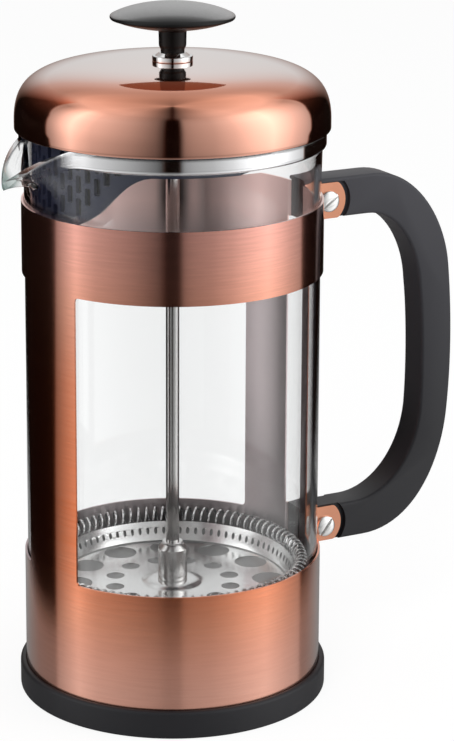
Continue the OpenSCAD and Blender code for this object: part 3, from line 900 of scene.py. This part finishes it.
def buildStrainer():
    r, low, top = strainer["radius"], strainer["low"], strainer["top"]
    perDegree = math.radians(1) * r
    edge = bezier((8, strainer["tongue"]), (18, strainer["tongue"] + 0.5), (26, 169.3), (33, 173.2), 9)[:-1]
    edge += bezier((33, 173.2), (40, 178), (46, low - 0.6), (55, low), 10)
    outline = [(180, low), (180, top), (-180, top), (-180, low)]
    outline += [(-a, z) for a, z in reversed(edge)] + edge
    loops = [[(a * perDegree, z) for a, z in outline]]
    half = strainer["slot"] / 2
    for k in range(-11, 12):
        for row in range(5):
            a = abs(k * strainer["pitch"])
            z = strainer["tongue"] + 2.4 + (abs(k) % 2) * strainer["row"] / 2 + row * strainer["row"]
            below = max([low if a + 2 > 55 else strainer["tongue"]] + [
                z0 + (z1 - z0) * (a + 2 - a0) / (a1 - a0)
                for (a0, z0), (a1, z1) in zip(edge, edge[1:]) if a0 <= a + 2 <= a1])
            if z > below + 1.4 and z + strainer["slotHeight"] < 193:
                u = k * strainer["pitch"] * perDegree
                left, right, end = u - half, u + half, z + strainer["slotHeight"]
                loops.append([(left, z, 0.5), (right, z, 0.5), (right, end, 0.5), (left, end, 0.5)])
    cuts = [k * strainer["pitch"] / 2 * perDegree for k in range(-39, 40)]
    sheets = []  # the skirt, and a thin dark sheet of painted shade behind its slots
    for shape, away, wall in ((loops, r, strainer["wall"]), (loops[:1], *strainer["shadeSheet"])):
        bm = flatSheet(shape, cuts, segments=2)
        for v in bm.verts:
            a = math.pi + v.co.x / r
            v.co.x, v.co.y = away * math.cos(a), away * math.sin(a)
        piece = newPiece("shadeSheet" if sheets else "lidStrainer", bm, [strainerPlastic, strainerShade], None)
        modifier(piece, "SOLIDIFY", thickness=wall * mm, offset=0, use_even_offset=True)
        bevelCorners(piece, 0.15, 1)
        applyModifiers(piece)
        for polygon in piece.data.polygons:
            polygon.material_index = len(sheets)
        sheets.append(piece)
    skirt, shadeSheet = sheets
    roof, tower = strainer["roof"], strainer["tower"]
    bm = lathe([
        (4.9, roof - 2), (r, roof - 2), (r + 0.9, roof - 1.9), (50.2, roof - 1.9, 0.3),
        (50.2, roof - 0.5, 0.3), (45.3, roof), (tower, roof, 1), (tower, 214.5, 0.3), (4.9, 214.55),
    ], steps=160)
    bmesh.ops.scale(bm, vec=(mm, mm, mm), verts=bm.verts)
    bmesh.ops.recalc_face_normals(bm, faces=bm.faces)
    whole = bmesh.new()
    whole.from_mesh(skirt.data)
    whole.from_mesh(shadeSheet.data)
    bpy.data.objects.remove(shadeSheet)
    addTo(whole, bm)
    whole.to_mesh(skirt.data)
    whole.free()
    smooth(skirt.data)
    claim(skirt, "lid", ["lid_strainer"])


collar = {"bore": 2.31, "shank": 4.8, "low": 186, "seat": 215.25, "radius": 6.7, "side": 1.7, "top": 217.95}


def buildCollar():
    seat, side = collar["seat"], collar["seat"] + collar["side"]
    bm = lathe([
        (collar["bore"], collar["low"]), (collar["shank"], collar["low"]), (collar["shank"], seat),
        (collar["radius"], seat, 0.15), (collar["radius"], side, 0.18), (5.7, side), (4.3, collar["top"]),
        (collar["bore"], collar["top"]),
    ], steps=96)
    newPiece("lidCollar", bm, [chrome], "lid_collar", ["lid_collar"])


# Knob and rod
knob = {"radius": 20.5, "stem": 4.6, "low": 218.0, "under": 226, "rim": 229.9, "top": 234.3, "socket": 3.5}


def buildKnob():
    r, stem, low, under, rim = knob["radius"], knob["stem"], knob["low"], knob["under"], knob["rim"]
    socketTop = low + 9.5
    belly = bezier((stem, under - 1), (stem + 0.2, under), (12, under), (r - 1.4, rim - 1.2), 14)
    edge = arcLine(r - 0.8, rim - 0.2, 0.8, -50, 50, 6)
    crown = bezier(edge[-1], (15.2, rim + 3.1), (7.6, knob["top"]), (0, knob["top"]), 16)[1:]
    bm = lathe([
        (0, socketTop), (knob["socket"], socketTop), (knob["socket"], low), (3.9, low, 0.1),
        (3.9, low + 0.9, 0.2), (stem - 0.1, low + 2.2, 0.3), *belly, *edge, *crown,
    ], closed=False, steps=160)
    newPiece("knobMoulding", bm, [knobPlastic], "plunger", ["knob"])


rod = {"radius": 2.25, "low": 22, "top": 227.1, "hub": (36.3, 49.2), "washer": (49.22, 50.12)}


def buildRod():
    r, low, top = rod["radius"], rod["low"], rod["top"]
    bm = lathe([(0, low), (r, low, 0.5), (r, top, 0.2), (0, top)], closed=False, steps=64)
    newPiece("plungerRod", bm, [rodSteel], "plunger", ["rod"])
    under, head = rod["hub"]
    bm = lathe([
        (2.28, under), (4.3, under, 0.2), (5, under + 1, 0.4), (5, head - 1.5, 0.2), (3.7, head, 0.15),
        (2.28, head),
    ], steps=96)
    newPiece("hubNut", bm, [hubSteel], "plunger", ["hub_nut"])
    low, top = rod["washer"]
    bm = lathe([(2.29, low), (3.5, low, 0.2), (3.5, top, 0.2), (2.29, top)], steps=64)
    newPiece("lockWasher", bm, [chrome], "plunger", ["lock_washer"])


# Filter
plate = {
    "low": 35.3, "sheet": 0.6, "bore": 2.3, "bossFoot": 10.9, "bossTop": 6.2, "bossHeight": 1.4,
    "flat": 38.95, "steps": 176, "large": (12, 33, 5.7, -23), "small": (12, 20.2, 3.1, -11),
    "ovals": 88, "oval": (0.62, 1.25), "bandLow": (40.35, 37.6), "bandTop": (41.2, 40.7),
    "rim": (41.65, 42.3),
}


def buildSpringPlate():
    low, steps, flat, bossFoot = plate["low"], plate["steps"], plate["flat"], plate["bossFoot"]
    lift = low + plate["bossHeight"]
    (lowRadius, lowHeight), (topRadius, topHeight) = plate["bandLow"], plate["bandTop"]
    bm = bmesh.new()
    for radius in (flat, bossFoot):
        ring(bm, radius, steps, (0, 0, low))
    for holes in ("large", "small"):
        ringOfHoles(bm, *plate[holes], low, 36)
    fillFlat(bm)
    top = plate["bossTop"]
    rise = bezier((bossFoot, low), (bossFoot - 1.4, low), (bossFoot - 2.0, lift), (top, lift), 10)
    hub = lathe([*rise, (plate["bore"], lift)], closed=False, steps=steps)
    wall = lathe([(flat, low), (39.6, low, 0.6), plate["bandLow"]], closed=False, steps=steps, segments=5)
    rim = lathe([plate["bandTop"], plate["rim"]], closed=False, steps=steps)
    # The band of ovals is cut flat, then rolled into a cone.
    mid, tall = 40.8, 3.2
    perStep = turn * mid / steps
    ovalWide, ovalTall = plate["oval"]
    loops = [[(0, 0), (steps * perStep, 0), (steps * perStep, tall), (0, tall)]]
    for k in range(plate["ovals"]):
        u = (2 * k + 1) * perStep
        loops.append([(u + ovalWide * math.cos(a), tall / 2 + ovalTall * math.sin(a))
                      for a in (math.radians(15 + 30 * j) for j in range(12))])
    band = flatSheet(loops, [k * perStep for k in range(1, steps)])
    for v in band.verts:
        a, up = turn * v.co.x / (steps * perStep), v.co.z / tall
        r = lowRadius + (topRadius - lowRadius) * up
        v.co.x, v.co.y = r * math.cos(a), r * math.sin(a)
        v.co.z = lowHeight + (topHeight - lowHeight) * up
    for part in (hub, wall, rim, band):
        addTo(bm, part)
    piece = newPiece("springPlate", bm, [steelPlate], None, merge=0.02)
    modifier(piece, "SOLIDIFY", thickness=plate["sheet"] * mm, offset=0)
    applyModifiers(piece)
    claim(piece, "plunger", ["spring_plate"])


coil = {"ring": 44.1, "height": 43.9, "coil": 2.13, "tall": 2.7, "wire": 0.42, "turns": 92, "perTurn": 20}


def buildCoil():
    line = bpy.data.curves.new("coil_spring", "CURVE")
    line.dimensions = "3D"
    line.bevel_depth = coil["wire"] * mm
    line.bevel_resolution = 1
    spline = line.splines.new("POLY")
    count = coil["turns"] * coil["perTurn"]
    spline.points.add(count - 1)
    spline.use_cyclic_u = True
    for k, point in enumerate(spline.points):
        a, b = turn * k / count, turn * k / coil["perTurn"]
        r = coil["ring"] + coil["coil"] * math.cos(b)
        z = coil["height"] + coil["tall"] * math.sin(b)
        point.co = (r * math.cos(a) * mm, r * math.sin(a) * mm, z * mm, 1)
    shape = newObject("coilLine", line)
    mesh = finalMesh(shape)
    bpy.data.objects.remove(shape)
    mesh.shade_smooth()
    mesh.materials.clear()
    mesh.materials.append(springWire)
    claim(newObject("coilSpring", mesh), "plunger", ["coil_spring"])


stack = {  # what is clamped below the spring plate, from the screen down
    "bore": 2.3, "screen": (34.9, 35.25), "screenRadius": 39.4, "screenRise": (42.4, 39.6),
    "plate": 34.46, "plateRadius": 38.5, "plateSheet": 0.8,
    "holes": ((18, 33, 3.5, 0), (12, 23.5, 3.5, 15), (6, 13.5, 2.5, 0)),
    "boss": (29.04, 34.04), "bossRadius": 6.5, "bossFlange": 9.5,
    "nut": (4.7, 3.6, 25.4, 2.28),
}


def buildScreen():
    bore, (low, top), r = stack["bore"], stack["screen"], stack["screenRadius"]
    outer, rise = stack["screenRise"]
    bm = lathe([
        (bore, low), (r, low, 1.5), (outer, rise), (outer - 0.2, rise + 0.3), (r - 0.2, top, 1.5),
        (bore, top),
    ], steps=160)
    newPiece("meshScreen", bm, [wireMesh], "plunger", ["mesh_screen"])


def buildSupport():
    bm = bmesh.new()
    ring(bm, stack["plateRadius"], 128)
    ring(bm, stack["bore"], 32)
    for holes in stack["holes"]:
        ringOfHoles(bm, *holes, 0, 24)
    fillFlat(bm)
    shift(bm, (0, 0, stack["plate"]))
    piece = newPiece("supportPlate", bm, [steelPlate], None)
    modifier(piece, "SOLIDIFY", thickness=stack["plateSheet"] * mm, offset=0)
    bevelCorners(piece, 0.12)
    applyModifiers(piece)
    claim(piece, "plunger", ["support_plate"])
    bore, (low, top), r, flange = stack["bore"], stack["boss"], stack["bossRadius"], stack["bossFlange"]
    bm = lathe([
        (bore, low), (r - 1, low, 0.3), (r, low + 1, 0.3), (r, top - 1.2, 0.3), (flange, top - 0.8, 0.2),
        (flange, top), (bore, top),
    ], steps=96)
    newPiece("filterBoss", bm, [chrome], "plunger", ["filter_boss"])
    newPiece("rodEndNut", hexNut(*stack["nut"]), [chrome], "plunger", ["rod_end_nut"])


def finishFrame():
    # Small parts inside that keep their own shape.
    for node, finish in (("lid_washer", steelPlate), ("lid_nut", screwSteel), ("knob_insert", brass)):
        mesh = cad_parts[node].data
        mesh.materials.clear()
        mesh.materials.append(finish)


for stage in (buildFoot, buildSleeve, buildHandle, buildScrews, buildHandleNuts, buildBeaker, buildLid,
              buildStrainer, buildCollar, buildKnob, buildRod, buildSpringPlate, buildCoil, buildScreen,
              buildSupport, finishFrame):
    stage()
    print("made", stage.__name__)


# Studio
studio = {
    "heading": 27.0, "peak": 2.5, "ambient": 0.5,
    # Light by direction round the press, in degrees from the viewer, low down and overhead.
    "around": [
        (-180, 0.8), (-168, 0.7), (-150, 0.56), (-102, 0.52), (-95, 0.88), (-88, 1.36), (-78, 2.1),
        (-70, 1.62), (-60, 1.17), (-45, 0.88), (-30, 0.62), (-20, 0.42), (-12, 0.26), (-6, 0.06),
        (-4.5, 0.006), (4.5, 0.006), (6, 0.08), (8, 0.34), (10, 0.46), (15, 0.56), (30, 0.74),
        (45, 1.15), (60, 1.78), (77, 2.4), (92, 1.7), (100, 1.3), (106, 1.1), (112, 0.9), (118, 0.66),
        (150, 0.64), (168, 0.72), (180, 0.8)],
    "overhead": [
        (-180, 0.57), (-150, 0.85), (-120, 1.12), (-75, 1.15), (-45, 0.88), (-30, 0.6), (-15, 0.3),
        (0, 0.02), (15, 0.42), (30, 0.7), (45, 1.0), (60, 1.2), (110, 1.3), (150, 1.12),
        (166, 0.75), (180, 0.57)],
    # How each of the two changes with height, in degrees, and where the one gives way to the other.
    "upright": [
        (-90, 0.2), (-30, 0.5), (-21, 0.51), (-13.3, 0.49), (-11.3, 0.76), (0, 0.86), (15, 0.95), (30, 1.0),
        (45, 0.93), (48, 0.8), (60, 0.65), (75, 0.4), (90, 0.3)],
    "crown": [(-90, 1.0), (50, 1.0), (60, 0.95), (70, 0.75), (80, 0.6), (90, 0.55)],
    "seam": [(-90, 0.0), (40, 0.0), (52, 1.0), (90, 1.0)],
    # Two dark cards stand beside the soft boxes, with inner edges that bulge low down and lean away above.
    "card": [
        (-90, 0.005), (0, 0.006), (10, 0.016), (20, 0.045), (28, 0.08), (34, 0.17), (40, 0.45), (46, 0.8),
        (90, 0.8)],
    "cardEnds": (102.5, 118.0), "cardSlant": (0.3, 12), "cardEdge": 1.2, "cardTop": (50, 44),
    "cardBulge": (4.0, (-19, -13), (-9, -12)), "cardBehind": (152, 184), "cardTone": (1.0, 0.5, 0.35, 1),
    "dusk": (1.0, 0.4, 0.25, 1), "duskBelow": 1 / 12,
    # By shares of the whole turn and height: less light low on the left, and more from under the foot.
    "dim": (0.12, (0.5, 0.46), (0.53, 0.45), (0.385, 0.41)),
    "under": ((0.06, 0.415, 0.392), (0.09, 0.3795, 0.3735)),
}


def makeStudio():
    world = bpy.data.worlds.new("studio")
    bpy.context.scene.world = world
    world.use_nodes = True
    world.cycles.sampling_method = "NONE"
    paint = Paint(world.node_tree)
    heading = math.radians(studio["heading"])
    c, s = math.cos(heading), math.sin(heading)
    way = paint.node("SeparateXYZ", None, {0: paint.node("TexCoord")["Generated"]})
    x, y = way["X"], way["Y"]
    around = paint.maths("ARCTAN2", x * c - y * s, -1 * x * s - y * c) / turn + 0.5
    height = paint.maths("ARCSINE", way["Z"]) / math.pi + 0.5
    azimuth, rise = (around - 0.5) * 360, (height - 0.5) * 180

    def read(name, place, whole, peak=1.0):
        return paint.curve([(v / whole + 0.5, level / peak) for v, level in studio[name]], place) * peak

    low = read("around", around, 360, studio["peak"]) * read("upright", height, 180)
    high = read("overhead", around, 360, studio["peak"]) * read("crown", height, 180)
    seam = read("seam", height, 180)
    main = low * (1 - seam) + high * seam
    share, side, below, above = studio["dim"]
    dim = share * paint.ramp(around, *side) * paint.ramp(height, *below) * paint.ramp(height, *above)
    main = main * (1 - dim)
    for share, start, stop in studio["under"]:
        main = main + share * paint.ramp(height, start, stop)
    left, right = studio["cardEnds"]
    past = paint.maths("MAXIMUM", -1 * azimuth - left, azimuth - right)
    slant, start = studio["cardSlant"]
    past = past - slant * paint.maths("MAXIMUM", rise - start, 0.0)
    share, low, high = studio["cardBulge"]
    past = past + share * paint.ramp(rise, *low) * paint.ramp(rise, *high)
    behind = paint.ramp(paint.maths("ABSOLUTE", azimuth) + rise, *studio["cardBehind"])
    card = paint.ramp(past, -studio["cardEdge"], studio["cardEdge"]) * paint.ramp(rise, *studio["cardTop"])
    card = card * (1 - behind)
    bright = paint.maths("DIVIDE", main, studio["duskBelow"], clamp=True)
    tone = paint.blend(card, paint.blend(bright, studio["dusk"], grey(1.0)), studio["cardTone"])
    pattern = main * (1 - card) + read("card", height, 180) * card
    # Only mirrored rays meet the pattern: straight ones see white, and scattered ones an even light.
    path = paint.node("LightPath")
    plain = paint.maths("LESS_THAN", path["Glossy Depth"] + path["Diffuse Depth"], 0.5)
    scattered = paint.maths("GREATER_THAN", path["Diffuse Depth"], 0.5)
    level = pattern * (1 - plain) + plain
    level = level * (1 - scattered) + studio["ambient"] * scattered
    tone = paint.blend(paint.maths("MAXIMUM", plain, scattered), tone, grey(1.0))
    sky = paint.node("Background", None, {"Color": tone, "Strength": level})
    paint.node("OutputWorld", None, {"Surface": sky})


floor = {
    "radius": 3.0, "colour": grey(0.8), "shown": grey(0.2), "glow": 0.86,
    "sideFades": (0.105, 0.138), "rightMore": 0.02, "frontFades": (0.11, 0.19), "mirrored": 0.5,
}


def makeFloor():
    bm = bmesh.new()
    bmesh.ops.create_circle(bm, cap_ends=True, radius=floor["radius"], segments=96)
    mesh = bpy.data.meshes.new("floor")
    bm.to_mesh(mesh)
    bm.free()
    newObject("floor", mesh)
    material, paint = newPaint("paleFloor")
    path = paint.node("LightPath")
    seen = paint.maths("LESS_THAN", path["Glossy Depth"] + path["Diffuse Depth"], 0.5)
    matt = paint.node("BsdfDiffuse", None, {"Color": floor["colour"]})
    faint = paint.node("BsdfDiffuse", None, {"Color": floor["shown"]})
    glow = paint.node("Emission", None, {"Color": grey(1.0), "Strength": floor["glow"]})
    ground = paint.mixed(seen, matt, paint.node("AddShader", None, {0: faint, 1: glow}))
    # In mirror images the floor fades out to the sides and to the front.
    side = paint.vector("DOT_PRODUCT", paint.place(), sideways)["Value"]
    front = paint.maths("MAXIMUM", paint.vector("DOT_PRODUCT", paint.place(), forwards)["Value"], 0.0)
    edge = paint.maths("MAXIMUM", -1 * side, side - floor["rightMore"])
    edge = paint.ramp(edge, *floor["sideFades"], floor["mirrored"])
    away = paint.maths("SQRT", side * side + front * front)
    far = paint.ramp(away, *floor["frontFades"], floor["mirrored"])
    mirrored = paint.maths("GREATER_THAN", path["Glossy Depth"], 0.5)
    missing = paint.maths("MAXIMUM", far, edge) * mirrored
    paint.surface(paint.mixed(missing, ground, paint.node("BsdfTransparent")))
    mesh.materials.append(material)


lamps = {
    "key": ((-0.9, -1.1, 1.1), 1.0, 9.0),
    "fill": ((1.0, -0.7, 0.9), 1.0, 5.0),
}


def makeLamps():
    for name, (place, size, power) in lamps.items():
        light = bpy.data.lights.new(name, "AREA")
        light.size = size
        light.energy = power
        lamp = newObject(name, light)
        lamp.location = place
        lamp.rotation_euler = (Vector((0, 0, 0.1)) - Vector(place)).to_track_quat("-Z", "Y").to_euler()
        lamp.visible_glossy = False
        lamp.visible_transmission = False
        lamp.visible_camera = False


camera = {
    "place": (-0.4075, -0.7998, 0.3752), "down": 13.4, "heading": -27.0,
    "sensor": 36, "lens": 135.62, "shift": (0.0734, -0.2018), "clip": (0.05, 20),
}


def makeCamera():
    view = bpy.data.cameras.new("camera")
    view.sensor_width = camera["sensor"]
    view.lens = camera["lens"]
    view.shift_x, view.shift_y = camera["shift"]
    view.clip_start, view.clip_end = camera["clip"]
    eye = newObject("camera", view)
    eye.location = camera["place"]
    eye.rotation_euler = (math.radians(90 - camera["down"]), 0, math.radians(camera["heading"]))
    bpy.context.scene.camera = eye


for stage in (makeStudio, makeFloor, makeLamps, makeCamera):
    stage()
bpy.context.scene.view_settings.view_transform = "Standard"
print("studio ready")
